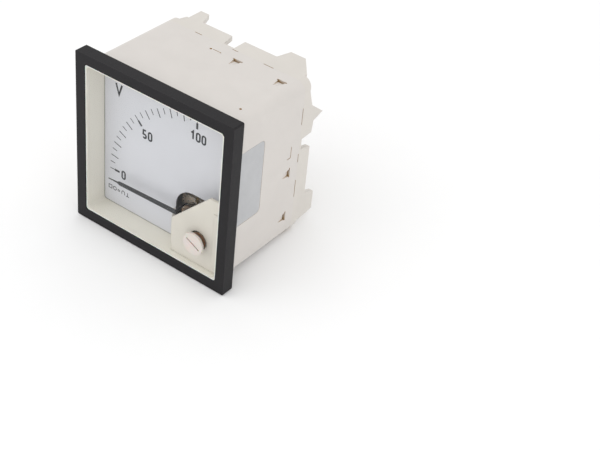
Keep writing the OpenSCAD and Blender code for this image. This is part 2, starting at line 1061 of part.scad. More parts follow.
// Wires from one terminal to the board, from the board to the rear spring arm, and from the
// movement frame to the other terminal
module internal_leads() {
    wire_r = 0.7;
    pin_y = floor_front - 1;
    pin_x = -terminal_w / 2 + tail_in;
    board_lead_x = board_x + 8;
    board_lead_y = board_y - wire_r;
    arm_end = [px + 7.5 * cos(stud_angle), pz + 7.5 * sin(stud_angle)];
    ear = [px + ear_r * cos(ear_angle + 180), pz + ear_r * sin(ear_angle + 180)];
    color("#a33a34")
        wire([[terminals[0][0] + pin_x - tail_r, pin_y, terminals[0][1]],
              [board_lead_x, pin_y, terminals[0][1]],
              [board_lead_x, pin_y, board_z + board_h / 2 + 3],
              [board_lead_x, board_lead_y, board_z + board_h / 2 + 3],
              [board_lead_x, board_lead_y, board_z + board_h / 2 - 2]], wire_r);
    color("#2c3f6b")
        wire([[arm_end[0], frame_back + 0.55, arm_end[1]],
              [arm_end[0], board_lead_y, arm_end[1]],
              [board_lead_x, board_lead_y, arm_end[1]],
              [board_lead_x, board_lead_y, board_z - board_h / 2 + 2]], wire_r);
    color("#2b2b2d")
        wire([[terminals[1][0] + pin_x, pin_y, terminals[1][1] - 0.85],
              [terminals[1][0] + pin_x, pin_y, ear[1] + 5.5],
              [ear[0], pin_y, ear[1] + 5.5],
              [ear[0], frame_y + 1, ear[1] + 5.5],
              [ear[0], frame_y + 1, ear[1] + 3.25]], wire_r);
}

module side_label() {
    color("#b9bac6")
        label_blank(half - label_sunk - label_t, half - label_sunk, 0);
}

bezel_frame();
window();
housing();
rear_base();
corner_mask();
dial_plate();
dial_screws();
zero_adjuster();
zero_lever();
front_bridge();
bridge_screws();
front_jewel_screw();
rear_jewel_screw();
pivot_jewels();
yoke_ring();
core_magnet();
movement_frame();
movement_screws();
rear_spring_arm();
coil_former();
coil_winding();
front_staff();
rear_staff();
spring_collets();
front_hairspring();
rear_hairspring();
balance_cross();
balance_weights();
pointer();
terminal_plates();
terminal_saddles();
terminal_screws();
resistor_board();
series_resistor();
internal_leads();
side_label();
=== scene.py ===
import json
import math

import bmesh
import bpy
from mathutils import Matrix, Vector


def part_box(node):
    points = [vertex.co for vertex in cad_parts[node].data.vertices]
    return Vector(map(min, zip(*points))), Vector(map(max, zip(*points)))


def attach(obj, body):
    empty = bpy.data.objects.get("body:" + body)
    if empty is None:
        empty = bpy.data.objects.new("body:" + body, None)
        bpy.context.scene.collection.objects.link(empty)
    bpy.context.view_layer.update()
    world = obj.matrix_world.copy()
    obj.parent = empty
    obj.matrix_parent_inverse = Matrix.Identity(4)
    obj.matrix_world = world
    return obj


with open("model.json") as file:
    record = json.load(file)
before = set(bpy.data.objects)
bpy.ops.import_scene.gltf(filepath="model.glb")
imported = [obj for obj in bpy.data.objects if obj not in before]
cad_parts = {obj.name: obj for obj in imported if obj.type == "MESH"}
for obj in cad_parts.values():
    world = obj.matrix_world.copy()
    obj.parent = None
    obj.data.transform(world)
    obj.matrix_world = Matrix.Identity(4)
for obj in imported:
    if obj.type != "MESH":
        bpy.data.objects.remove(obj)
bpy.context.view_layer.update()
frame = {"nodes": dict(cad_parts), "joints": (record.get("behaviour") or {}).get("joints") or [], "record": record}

MM = 0.001


# ---------------------------------------------------------------- places taken from the frame

dial_low, dial_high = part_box("dial_plate")
adjuster_low, adjuster_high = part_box("zero_adjuster")
bezel_low, bezel_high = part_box("bezel_frame")
window_low, window_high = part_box("window")
mask_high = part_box("corner_mask")[1]
rear_low, rear_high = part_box("rear_base")
joints = {joint["name"]: joint for joint in frame["joints"]}
pivot_x, _, pivot_z = joints["pointer_swing"]["pos_m"]

# Points on the dial are (X, Z) vectors, as it is read from the front
PIVOT = Vector((pivot_x, pivot_z))
ADJUSTER = ((adjuster_low + adjuster_high) / 2).xz

# Half widths of the squares round the case's middle. The mask's side is 0.1 mm from the
# wall, and the bezel's lip laps 1.2 mm over the window.
INNER_HALF = mask_high.x + 0.1 * MM
OPENING_HALF = window_high.x - 1.2 * MM


# ---------------------------------------------------------------- materials

def linear(red, green, blue):
    """Linear colour of a screen colour given as three numbers from 0 to 255."""
    def one(value):
        value /= 255
        return value / 12.92 if value <= 0.04045 else ((value + 0.055) / 1.055) ** 2.4
    return (one(red), one(green), one(blue), 1.0)


# Span that a noise texture's values keep to, apart from a few
NOISE_LOW, NOISE_HIGH = 0.3, 0.7

# Sockets of a Mix node of type RGBA, which has others of the same names
MIX_FACTOR, MIX_FIRST, MIX_SECOND, MIX_RESULT = 0, 6, 7, 2

BEVEL_SAMPLES = 4
OCCLUSION_SAMPLES = 6


class Shader:
    """A node material built round one Principled shader, with coordinates in metres."""

    def __init__(self, name, **settings):
        self.material = bpy.data.materials.new(name)
        self.material.use_nodes = True
        self.nodes = self.material.node_tree.nodes
        self.links = self.material.node_tree.links
        self.bsdf = self.nodes["Principled BSDF"]
        self.place = self.add("ShaderNodeTexCoord").outputs["Object"]
        for socket, value in settings.items():
            self.bsdf.inputs[socket.replace("_", " ")].default_value = value

    def add(self, kind, inputs=None, **attributes):
        """New node with its attributes set, and each input given a value or linked."""
        node = self.nodes.new(kind)
        for key, value in attributes.items():
            setattr(node, key, value)
        for key, value in (inputs or {}).items():
            if isinstance(value, bpy.types.NodeSocket):
                self.links.new(value, node.inputs[key])
            else:
                node.inputs[key].default_value = value
        return node

    def math(self, operation, *values):
        node = self.add("ShaderNodeMath", dict(enumerate(values)), operation=operation)
        return node.outputs[0]

    def stretched(self, along):
        """Coordinates scaled apart on each axis, for a grain that runs one way."""
        return self.add("ShaderNodeMapping", {"Vector": self.place, "Scale": along}).outputs[0]

    def noise(self, size_mm, detail=3.0, roughness=0.55, place=None, distortion=0.0):
        node = self.add("ShaderNodeTexNoise", {
            "Vector": place or self.place, "Scale": 1 / (size_mm * MM), "Detail": detail,
            "Roughness": roughness, "Distortion": distortion})
        return node.outputs[0]

    def painted_glint_specks(self, spacing_mm, radius_mm):
        """1 inside small scattered specks, fading at their rims to 0 elsewhere. The specks place painted glints.
        """
        node = self.add("ShaderNodeTexVoronoi", {
            "Vector": self.place, "Scale": 1 / (spacing_mm * MM)}, feature="F1")
        rim = radius_mm / spacing_mm
        core = rim * 0.7
        return self.remap(node.outputs["Distance"], core, rim, 1.0, 0.0)

    def remap(self, value, low, high, to_low, to_high):
        """The value moved from one span to another, and kept inside it."""
        node = self.add("ShaderNodeMapRange", {
            "Value": value, "From Min": low, "From Max": high,
            "To Min": to_low, "To Max": to_high})
        return node.outputs["Result"]

    def spread(self, noise, to_low, to_high):
        """A noise's usual span stretched over another."""
        return self.remap(noise, NOISE_LOW, NOISE_HIGH, to_low, to_high)

    def blend(self, amount, first, second):
        return self.add("ShaderNodeMix", {
            MIX_FACTOR: amount, MIX_FIRST: first, MIX_SECOND: second},
            data_type="RGBA").outputs[MIX_RESULT]

    def edges(self, radius_mm, start=0.02, full=0.25):
        """Near 1 along convex and concave edges, 0 on open faces.

        start and full say how far the rounded normal leans away where the effect begins
        and where it is full: 0 is along the face's own normal, 1 is at right angles to it.
        """
        rounded = self.add("ShaderNodeBevel", {"Radius": radius_mm * MM},
                           samples=BEVEL_SAMPLES).outputs[0]
        flat = self.add("ShaderNodeNewGeometry").outputs["True Normal"]
        meet = self.add("ShaderNodeVectorMath", {0: rounded, 1: flat}, operation="DOT_PRODUCT")
        return self.remap(meet.outputs["Value"], 1 - start, 1 - full, 0.0, 1.0)

    def crevice_shade(self, reach_mm):
        """Near 1 where ambient occlusion finds narrow gaps and slots behind the dial, 0 on open faces. It places
        painted shade, with some grime, in those gaps.
        """
        hidden, open_sky = 0.35, 0.8
        behind_dial = dial_high.y + 0.2 * MM
        node = self.add("ShaderNodeAmbientOcclusion", {"Distance": reach_mm * MM},
                        samples=OCCLUSION_SAMPLES)
        depth = self.add("ShaderNodeSeparateXYZ", {0: self.place}).outputs["Y"]
        return self.math("MULTIPLY", self.remap(node.outputs["AO"], hidden, open_sky, 1.0, 0.0),
                         self.math("GREATER_THAN", depth, behind_dial))

    def within(self, half):
        """1 where X and Z both lie inside a square of this half width, 0 outside."""
        parts = self.add("ShaderNodeSeparateXYZ", {0: self.place})
        return self.math("MULTIPLY", *(
            self.math("LESS_THAN", self.math("ABSOLUTE", parts.outputs[way]), half)
            for way in ("X", "Z")))

    def colour(self, value):
        self.links.new(value, self.bsdf.inputs["Base Color"])

    def metallic(self, value):
        self.links.new(value, self.bsdf.inputs["Metallic"])

    def rough(self, value):
        self.links.new(value, self.bsdf.inputs["Roughness"])

    def relief(self, height, depth_mm, strength=1.0, round_mm=0.0):
        """Surface bumps from a height, over edges rounded to this radius."""
        node = self.add("ShaderNodeBump", {
            "Height": height, "Distance": depth_mm * MM, "Strength": strength})
        if round_mm:
            rounded = self.add("ShaderNodeBevel", {"Radius": round_mm * MM},
                               samples=BEVEL_SAMPLES)
            self.links.new(rounded.outputs[0], node.inputs["Normal"])
        self.links.new(node.outputs[0], self.bsdf.inputs["Normal"])


def toned(colour, factor):
    """The colour made darker below 1 and lighter above it."""
    return tuple(channel * factor for channel in colour[:3]) + (1.0,)


def plastic(name, colour, rough, grain_mm, depth_mm, mottle, round_mm=0.12, edge_tone=None,
            grime_and_shade=None, inside=None, **settings):
    """Moulded plastic: fine spark-eroded grain, slight flow mottling, softly rounded edges.

    mottle is how much darker the flow marks are, edge_tone is the tone of rubbed edges, the gap colour is painted
    shade with some grime, laid where ambient occlusion finds narrow gaps, and the inside colour, for all that lies
    within the walls, is painted lighter and warmer: painted light for the dim inside of the case.
    """
    shader = Shader(name, **settings)
    fine = shader.noise(grain_mm, 4.0, 0.6)
    cloud = shader.noise(9.0, 3.0, 0.5, distortion=0.4)
    base = shader.blend(shader.spread(cloud, 0.0, 1.0),
                        toned(colour, 1 - mottle), toned(colour, 1 + mottle * 0.4))
    if edge_tone:
        wear = shader.math("MULTIPLY", shader.edges(0.35), shader.noise(1.3, 2.0))
        base = shader.blend(wear, base, toned(colour, edge_tone))
    # Within the walls the colour is painted lighter and warmer: painted light for the dim inside of the case.
    if inside:
        base = shader.blend(shader.within(INNER_HALF + 0.05 * MM), base, inside)
    # Painted shade with some grime: gaps behind the dial turn darker and browner where occlusion is deep.
    if grime_and_shade:
        base = shader.blend(shader.crevice_shade(reach_mm=1.5), base, grime_and_shade)
    shader.colour(base)
    shader.rough(shader.spread(fine, rough - 0.06, rough + 0.08))
    shader.relief(fine, depth_mm, 0.8, round_mm)
    return shader.material


def metal(name, colour, rough, along=(1, 1, 1), grain_mm=0.2, depth_mm=0.004, tarnish=0.12,
          specks=False):
    """Bare or plated metal with a directional tool grain, faint tarnish and softened edges.

    The grain is closer on the axes where along is larger. With specks, whitish spots are painted in as painted
    glints.
    """
    shader = Shader(name, Metallic=1.0)
    lines = shader.noise(grain_mm, 4.0, 0.6, shader.stretched(along))
    stain = shader.noise(2.6, 3.0, 0.55, distortion=0.6)
    base = shader.blend(shader.remap(stain, 0.42, 0.72, 0.0, 1.0), colour,
                        toned(colour, 1 - tarnish * 3))
    # Whitish spots of the same metal: painted glints.
    if specks:
        base = shader.blend(shader.painted_glint_specks(1.2, 0.3), base, linear(238, 232, 222))
    shader.colour(base)
    shader.rough(shader.remap(lines, 0.25, 0.75, rough - 0.08, rough + 0.12))
    shader.relief(lines, depth_mm, 0.7, round_mm=0.06)
    return shader.material


def bezel_material():
    """Black satin moulding, rubbed a little paler along its edges."""
    colour = linear(24, 22, 25)
    shader = Shader("bezel_black", IOR=1.5, Specular_IOR_Level=0.24)
    fine = shader.noise(0.28, 4.0, 0.65)
    cloud = shader.noise(7.0, 3.0)
    rub = shader.math("MULTIPLY", shader.edges(0.3, 0.01, 0.2), shader.noise(0.9, 3.0))
    base = shader.blend(shader.spread(cloud, 0, 1), toned(colour, 0.86), colour)
    shader.colour(shader.blend(rub, base, linear(66, 65, 68)))
    shader.rough(shader.spread(fine, 0.44, 0.6))
    shader.relief(fine, 0.012, 0.9, 0.15)
    return shader.material


def window_material():
    """Clear acrylic that lets lamps and room light what is behind it.

    It hardly refracts, since the photograph shows nothing shifted behind it. Shadow and
    diffuse rays pass straight through, each picked by its own Light Path output.
    """
    shader = Shader("window_acrylic", Roughness=0.01, IOR=1.03, Transmission_Weight=1.0,
                    Coat_Weight=0.35, Coat_IOR=1.4, Coat_Roughness=0.01)
    shader.bsdf.inputs["Base Color"].default_value = (0.99, 0.995, 0.995, 1)
    haze = shader.noise(14.0, 2.0)
    shader.relief(haze, 0.0015, 0.25)
    path = shader.add("ShaderNodeLightPath")
    clear = shader.add("ShaderNodeBsdfTransparent", {"Color": (0.98, 0.985, 0.985, 1)})
    surface = shader.bsdf
    for ray in ("Is Diffuse Ray", "Is Shadow Ray"):
        surface = shader.add("ShaderNodeMixShader", {
            0: path.outputs[ray], 1: surface.outputs[0], 2: clear.outputs[0]})
    shader.links.new(surface.outputs[0], shader.nodes["Material Output"].inputs["Surface"])
    return shader.material


def dial_material():
    """White lacquer on sheet metal, with a fine tooth."""
    colour = linear(209, 209, 214)
    shader = Shader("dial_enamel", Coat_Weight=0.15, Coat_Roughness=0.2, IOR=1.5)
    tooth = shader.noise(0.12, 3.0, 0.6)
    cloud = shader.noise(16.0, 2.0)
    shader.colour(shader.blend(shader.spread(cloud, 0, 1), toned(colour, 0.97), colour))
    shader.rough(shader.spread(tooth, 0.5, 0.62))
    shader.relief(tooth, 0.003, 0.6)
    return shader.material


def edge_highlight_material():
    """Polished, slightly milky edge of the acrylic, painted near white: a painted highlight for the light it
    gathers.
    """
    shader = Shader("acrylic_edge_painted_highlight", IOR=1.45, Subsurface_Weight=0.2,
                    Subsurface_Scale=0.0006)
    streak = shader.noise(1.8, 3.0)
    shader.colour(shader.blend(streak, linear(238, 236, 228), linear(252, 251, 246)))
    shader.rough(shader.spread(streak, 0.35, 0.5))
    shader.relief(streak, 0.004, 0.4)
    return shader.material


def ink_material(name, colour):
    """Matt print or paint with tiny darker and lighter specks."""
    shader = Shader(name, IOR=1.45)
    speck = shader.noise(0.09, 3.0, 0.6)
    shader.colour(shader.blend(shader.remap(speck, 0.35, 0.75, 0, 1), toned(colour, 0.85),
                               toned(colour, 1.35)))
    shader.rough(shader.spread(speck, 0.5, 0.65))
    shader.relief(speck, 0.002, 0.5)
    return shader.material


def foil_material():
    """Silvery label film with brushed fibres, lifted a little at its edges."""
    colour = linear(187, 188, 190)
    shader = Shader("label_film", Metallic=0.25, Coat_Weight=0.3, Coat_Roughness=0.25)
    fibre = shader.noise(0.16, 4.0, 0.6, shader.stretched((1, 0.25, 1)))
    cloud = shader.noise(5.0, 3.0, distortion=0.5)
    lift = shader.edges(0.25, 0.02, 0.2)
    base = shader.blend(shader.spread(cloud, 0, 1), toned(colour, 0.93), colour)
    shader.colour(shader.blend(shader.math("MULTIPLY", lift, 0.5), base, linear(226, 226, 228)))
    shader.rough(shader.spread(fibre, 0.34, 0.5))
    ripple = shader.math("ADD", fibre, shader.math("MULTIPLY", cloud, 3.0))
    shader.relief(ripple, 0.006, 0.6, 0.05)
    return shader.material


def winding_material():
    """Enamelled wire side by side under a lumpy varnish with bright specks: shiny flakes that really reflect,
    their colour painted near white as painted glints.

    It is paler than real wire, because little light reaches it through the dial's cut-out.
    """
    wire_mm = 0.035
    shader = Shader("copper_winding", Metallic=0.1, Coat_Weight=0.4, Coat_Roughness=0.2)
    bands = shader.add("ShaderNodeTexWave", {
        "Vector": shader.place, "Scale": 1 / (2 * math.pi) / (wire_mm * MM) / 4,
        "Distortion": 0.4, "Detail": 1.0, "Detail Scale": 2.0},
        wave_type="BANDS", bands_direction="Z", wave_profile="SIN").outputs[1]
    stain = shader.noise(1.5, 3.0)
    wire = shader.blend(shader.math("MULTIPLY", bands, stain), linear(204, 184, 162),
                        linear(240, 222, 200))
    specks = shader.painted_glint_specks(1.1, 0.42)
    # Specks painted near white as painted glints, and made metallic and smooth so they also reflect.
    shader.colour(shader.blend(specks, wire, linear(252, 248, 240)))
    shader.metallic(shader.remap(specks, 0.0, 1.0, 0.1, 0.9))
    shader.rough(shader.remap(specks, 0.0, 1.0, 0.36, 0.1))
    shader.relief(shader.math("ADD", bands, shader.noise(0.5, 2.0)), 0.05, 1.0)
    return shader.material


def board_material():
    """Brown laminate with its woven cloth just showing."""
    shader = Shader("laminate_board", Coat_Weight=0.2, Coat_Roughness=0.3)
    weave = [shader.add("ShaderNodeTexWave", {
        "Vector": shader.place, "Scale": 0.35 / MM, "Distortion": 0.6},
        wave_type="BANDS", bands_direction=way).outputs[1] for way in ("X", "Z")]
    cloth = shader.math("MULTIPLY", *weave)
    shader.colour(shader.blend(cloth, linear(118, 96, 44), linear(150, 128, 70)))
    shader.rough(shader.remap(cloth, 0, 1, 0.38, 0.5))
    shader.relief(cloth, 0.01, 0.5, 0.08)
    return shader.material


def ruby_material():
    """Synthetic ruby, clouded a little inside."""
    shader = Shader("jewel_ruby", Roughness=0.05, IOR=1.76, Transmission_Weight=0.6)
    depth = shader.noise(0.5, 2.0)
    shader.colour(shader.blend(depth, linear(150, 18, 44), linear(222, 70, 96)))
    shader.relief(depth, 0.002, 0.3)
    return shader.material


def resistor_material():
    """Blue film-resistor lacquer with plain colour bands round the body, and tinned ends."""
    lacquer = linear(74, 118, 158)
    brown, grey, red, gold = (122, 72, 40), (60, 60, 62), (170, 60, 40), (196, 160, 72)
    band_half, body_half = 0.35 * MM, 4.51 * MM
    shader = Shader("resistor_lacquer", Coat_Weight=0.4, Coat_Roughness=0.12, IOR=1.5)
    low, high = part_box("series_resistor")
    middle = (low.x + high.x) / 2
    across = shader.add("ShaderNodeSeparateXYZ", {0: shader.place}).outputs["X"]
    shade = shader.noise(1.2, 3.0)
    base = shader.blend(shade, toned(lacquer, 0.85), lacquer)
    for offset_mm, band in ((-3.2, brown), (-1.8, grey), (-0.4, red), (2.6, gold)):
        inside = shader.math("COMPARE", across, middle + offset_mm * MM, band_half)
        base = shader.blend(inside, base, linear(*band))
    lead = shader.math("GREATER_THAN", shader.math("ABSOLUTE", shader.math(
        "SUBTRACT", across, middle)), body_half)
    shader.colour(shader.blend(lead, base, linear(200, 200, 196)))
    shader.metallic(lead)
    shader.rough(shader.spread(shade, 0.25, 0.38))
    shader.relief(shade, 0.01, 0.5)
    return shader.material


def sleeve_material():
    """Wire sleeves: each lead keeps its own colour by its place in the case."""
    below, beyond = -3 * MM, 2 * MM
    shader = Shader("wire_sleeves", IOR=1.5, Coat_Weight=0.15, Coat_Roughness=0.3)
    parts = shader.add("ShaderNodeSeparateXYZ", {0: shader.place})
    low = shader.math("LESS_THAN", parts.outputs["Z"], below)
    right = shader.math("GREATER_THAN", parts.outputs["X"], beyond)
    high_right = shader.math("MULTIPLY", right, shader.math("SUBTRACT", 1.0, low))
    grain = shader.noise(0.4, 3.0)
    red = shader.blend(grain, linear(140, 34, 30), linear(176, 52, 44))
    blue = shader.blend(grain, linear(30, 48, 100), linear(48, 70, 130))
    black = shader.blend(grain, linear(34, 34, 36), linear(52, 52, 55))
    shader.colour(shader.blend(high_right, shader.blend(low, red, blue), black))
    shader.rough(shader.spread(grain, 0.36, 0.5))
    shader.relief(grain, 0.01, 0.5)
    return shader.material


WHITE_PLASTIC = linear(211, 206, 201)
# Housing colour painted lighter and warmer for all within the walls: painted light for the little light that
# reaches the inside of the case.
INSIDE_BRIGHTENED_PLASTIC = linear(229, 225, 214)
# Brown of the narrow gaps: painted shade, with some grime.
GRIME_AND_SHADE = linear(186, 154, 106)

# Finish of each material slot in the record
MATERIALS = {
    "black_bezel": bezel_material(),
    "clear_window": window_material(),
    "housing_plastic": plastic(
        "housing_abs", WHITE_PLASTIC, rough=0.44, grain_mm=0.4, depth_mm=0.008, mottle=0.025,
        edge_tone=1.05, grime_and_shade=GRIME_AND_SHADE, inside=INSIDE_BRIGHTENED_PLASTIC),
    "rear_plastic": plastic(
        "rear_abs", linear(212, 207, 200), rough=0.46, grain_mm=0.45, depth_mm=0.009,
        mottle=0.03, edge_tone=1.05, grime_and_shade=GRIME_AND_SHADE),
    "mask_plastic": plastic(
        "mask_abs", linear(214, 208, 197), rough=0.5, grain_mm=0.3, depth_mm=0.006,
        mottle=0.03, round_mm=0.6),
    "dial_face": dial_material(),
    "small_steel": metal(
        "zinc_steel", linear(188, 190, 194), rough=0.3, along=(1, 3, 1), grain_mm=0.15,
        tarnish=0.06),
    "adjuster_plastic": plastic(
        "adjuster_nylon", linear(216, 207, 200), rough=0.36, grain_mm=0.25, depth_mm=0.004,
        mottle=0.04, round_mm=0.15, Subsurface_Weight=0.25, Subsurface_Scale=0.0008),
    "spring_bronze": metal(
        "spring_bronze", linear(138, 116, 98), rough=0.36, along=(1, 1, 3), grain_mm=0.18,
        specks=True),
    "bridge_metal": metal(
        "bridge_bronze", linear(138, 126, 112), rough=0.42, along=(2, 1, 1), grain_mm=0.25,
        specks=True),
    "turned_brass": metal(
        "turned_brass", linear(200, 174, 122), rough=0.3, along=(1, 6, 1), grain_mm=0.12,
        tarnish=0.06),
    "ruby": ruby_material(),
    # Paler than bare soft iron: painted light, since little light reaches it behind the dial.
    "soft_iron": metal(
        "soft_iron", linear(196, 192, 186), rough=0.4, along=(1, 0.2, 1), depth_mm=0.006),
    "magnet": metal(
        "cast_magnet", linear(98, 101, 105), rough=0.5, grain_mm=0.3, depth_mm=0.012),
    "die_cast": metal(
        "die_cast_zinc", linear(168, 170, 172), rough=0.48, grain_mm=0.35, depth_mm=0.012),
    "thin_aluminium": metal(
        "bright_aluminium", linear(206, 208, 210), rough=0.28, along=(4, 1, 1)),
    "copper_wire": winding_material(),
    "pointer_grey": plastic(
        "pointer_lacquer", linear(44, 45, 48), rough=0.58, grain_mm=0.12, depth_mm=0.002,
        mottle=0.08, round_mm=0.03),
    "plated_steel": metal(
        "nickel_plate", linear(204, 204, 202), rough=0.28, along=(1, 1, 3), tarnish=0.05),
    "board": board_material(),
    "resistor_body": resistor_material(),
    "wire_sleeve": sleeve_material(),
    "label_foil": foil_material(),
}


def dress_nodes():
    """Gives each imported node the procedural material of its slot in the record."""
    for part in frame["record"]["subparts"]:
        slots = frame["nodes"][part["node"]].data.materials
        slots.clear()
        slots.append(MATERIALS[part["material_slot"]])


# ---------------------------------------------------------------- meshes

def place_in_scene(obj):
    bpy.context.scene.collection.objects.link(obj)


def piece(name, build, material, body):
    """Makes a mesh from a bmesh-filling function and lets it ride on a body."""
    mesh = bpy.data.meshes.new(name)
    bm = bmesh.new()
    build(bm)
    bmesh.ops.recalc_face_normals(bm, faces=bm.faces)
    bm.to_mesh(mesh)
    bm.free()
    obj = bpy.data.objects.new(name, mesh)
    place_in_scene(obj)
    mesh.materials.append(material)
    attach(obj, body)


def ribbon(bm, points, width, front, back, closed=False):
    """Stroke of even width along a path, with mitred corners, as a thin raised strip."""
    sharpest = 0.35  # keeps the mitre of a sharp corner from running away
    path = [Vector(p) for p in points]
    count = len(path)
    sides = []
    for i, here in enumerate(path):
        before = path[i - 1] if i or closed else here
        after = path[(i + 1) % count] if i + 1 < count or closed else here
        into = (here - before).normalized() if here != before else (after - here).normalized()
        out = (after - here).normalized() if after != here else into
        bisector = (into + out).normalized()
        across = Vector((-bisector.y, bisector.x))
        reach = width / 2 / max(sharpest, bisector.dot(out))
        sides.append((here + across * reach, here - across * reach))
    rings = [[bm.verts.new((q.x, y, q.y)) for q, y in (
        (left, front), (right, front), (right, back), (left, back))] for left, right in sides]
    for i in range(count if closed else count - 1):
        here, after = rings[i], rings[(i + 1) % count]
        for k in range(4):
            m = (k + 1) % 4
            bm.faces.new((here[k], here[m], after[m], after[k]))
    if not closed:
        bm.faces.new(rings[0])
        bm.faces.new(rings[-1])


def arc(centre, radius, start, end, steps, squash=1.0):
    """Points along an arc in degrees, anticlockwise from the right."""
    return [Vector((centre[0] + radius * math.cos(math.radians(a)),
                    centre[1] + radius * squash * math.sin(math.radians(a))))
            for a in (start + (end - start) * i / steps for i in range(steps + 1))]


# ---------------------------------------------------------------- dial print

# Front and back of the ink, which stands a little proud of the dial and reaches into it
INK_Y = (dial_low.y - 0.02 * MM, dial_low.y + 0.01 * MM)

FULL_SCALE = 100
SCALE_SWEEP = 90

# Radii round the pivot in mm: where all marks start, and where each kind ends
SCALE_R = 40.7
SHORT_END = 38.4
TENS_END = 37.1
NUMBERED_END = 36.0

# Sizes of the dial's numbers in mm
DIGIT = {"w": 2.2, "h": 4.0, "stroke": 0.72}


def on_scale(value, radius_mm):
    """Point on the dial at a scale value, with zero at the left and full scale on top."""
    angle = math.radians(180 - SCALE_SWEEP / FULL_SCALE * value)
    return PIVOT + radius_mm * MM * Vector((math.cos(angle), math.sin(angle)))


def scale_marks(bm):
    """A mark every five units: short, longer on the tens, and with a heavy foot at numbers."""
    for value in range(0, FULL_SCALE + 1, 5):
        if value % 50 == 0:
            strokes = ((SCALE_R, SHORT_END, 0.32), (SHORT_END, NUMBERED_END, 0.9))
        elif value % 10 == 0:
            strokes = ((SCALE_R, TENS_END, 0.37),)
        else:
            strokes = ((SCALE_R, SHORT_END, 0.31),)
        for outer, inner, width in strokes:
            ribbon(bm, [on_scale(value, outer), on_scale(value, inner)], width * MM, *INK_Y)


# Each glyph is a list of strokes for a box of this width and height round the origin. A
# stroke is its path and whether it closes. The fractions place its corners in the box.

def zero_glyph(w, h):
    r = w / 2
    top = arc((0, h / 2 - r), r, 0, 180, 12)
    bottom = arc((0, -h / 2 + r), r, 180, 360, 12)
    return [(top + bottom, True)]


def one_glyph(w, h):
    return [([Vector((-w * 0.42, h / 2 - 0.26 * h)), Vector((w * 0.16, h / 2)),
              Vector((w * 0.16, -h / 2))], False)]


def five_glyph(w, h):
    r = w / 2
    bowl = arc((0, -h / 2 + r * 1.08), r, 118, -150, 16, 1.08)
    return [([Vector((w * 0.44, h / 2)), Vector((-w * 0.4, h / 2)),
              Vector((-w * 0.46, -h * 0.02))] + bowl, False)]


def v_glyph(w, h):
    return [([Vector((-w / 2, h / 2)), Vector((0, -h / 2)), Vector((w / 2, h / 2))], False)]


GLYPHS = {"0": zero_glyph, "1": one_glyph, "5": five_glyph, "V": v_glyph}


def write(bm, characters, centre, w, h, stroke, pitch=0):
    """Lays characters on the dial, their row centred on a point, with all sizes in mm."""
    start = centre[0] - pitch * (len(characters) - 1) / 2
    for i, character in enumerate(characters):
        for path, closed in GLYPHS[character](w - stroke, h - stroke):
            points = [Vector(((start + i * pitch + p[0]) * MM, (centre[1] + p[1]) * MM))
                      for p in path]
            ribbon(bm, points, stroke * MM, *INK_Y, closed=closed)


def numbers(bm):
    write(bm, "0", (-21.2, -15.8), **DIGIT)
    write(bm, "50", (-9.9, 7.4), **DIGIT, pitch=2.65)
    write(bm, "100", (13.5, 17.5), **DIGIT, pitch=2.55)


def unit_letter(bm):
    write(bm, "V", (-23.8, 20.8), w=3.7, h=5.2, stroke=0.82)


def symbols(bm):
    """Row of plain signs in mm: square, hexagon, equals sign, arch, and an upright on a line."""
    z = -24.0
    line = 0.32 * MM

    def stroke(points, closed=False):
        ribbon(bm, [Vector((x * MM, y * MM)) for x, y in points], line, *INK_Y, closed=closed)

    stroke([(-28.6, z - 0.75), (-27.1, z - 0.75), (-27.1, z + 0.75), (-28.6, z + 0.75)], True)
    stroke(arc((-25.6, z), 0.85, 0, 300, 5), True)
    stroke([(-24.2, z + 0.28), (-22.9, z + 0.28)])
    stroke([(-24.2, z - 0.32), (-22.9, z - 0.32)])
    arch = arc((-21.3, z + 0.15), 0.7, 0, 180, 10)
    stroke([(-20.6, z - 0.8), *arch, (-22.0, z - 0.8)])
    stroke([(-19.9, z - 0.75), (-18.3, z - 0.75)])
    stroke([(-19.1, z - 0.65), (-19.1, z + 0.9)])


def print_dial():
    ink = ink_material("dial_ink", linear(38, 39, 43))
    for name, build in (("scale_marks", scale_marks), ("scale_numbers", numbers),
                        ("unit_letter", unit_letter), ("dial_symbols", symbols)):
        piece(name, build, ink, "case")


# ---------------------------------------------------------------- trim round the window

def corner_square(half, radius, steps=6):
    """Outline of a square with rounded corners, anticlockwise."""
    reach = half - radius
    corners = ((reach, reach, 0), (-reach, reach, 90), (-reach, -reach, 180), (reach, -reach, 270))
    return [p for x, z, start in corners for p in arc((x, z), radius, start, start + 90, steps)]


def hoop(bm, rings):
    """Closed band swept through outlines of equal count, each given as (outline, depth)."""
    loops = [[bm.verts.new((p.x, y, p.y)) for p in outline] for outline, y in rings]
    for here, after in zip(loops, loops[1:] + loops[:1]):
        for i in range(len(here)):
            j = (i + 1) % len(here)
            bm.faces.new((here[i], here[j], after[j], after[i]))


def square_band(outer, inner, front, back, radius_out, radius_in, ease):
    """Builder for a flat square ring with eased front edges, all in metres."""
    def build(bm):
        hoop(bm, ((corner_square(outer, radius_out), back),
                  (corner_square(outer, radius_out), front + ease),
                  (corner_square(outer - ease, radius_out), front),
                  (corner_square(inner + ease, radius_in), front),
                  (corner_square(inner, radius_in), front + ease),
                  (corner_square(inner, radius_in), back)))
    return build


def circle(centre, radius):
    steps = 48
    return arc(centre, radius, 0, 360 - 360 / steps, steps - 1)


# Radius, and depth behind the window's back face, round the washer's section in mm
CLIP_PROFILE = ((2.0, 0.86), (2.3, 0.82), (3.1, 1.02), (3.3, 1.0), (3.35, 1.1), (3.1, 1.2),
                (2.3, 1.0), (2.0, 1.04))


def adjuster_clip(bm):
    """Dished push-on washer on the adjuster's stem, behind the window."""
    hoop(bm, [(circle(ADJUSTER, radius * MM), window_high.y + depth * MM)
              for radius, depth in CLIP_PROFILE])


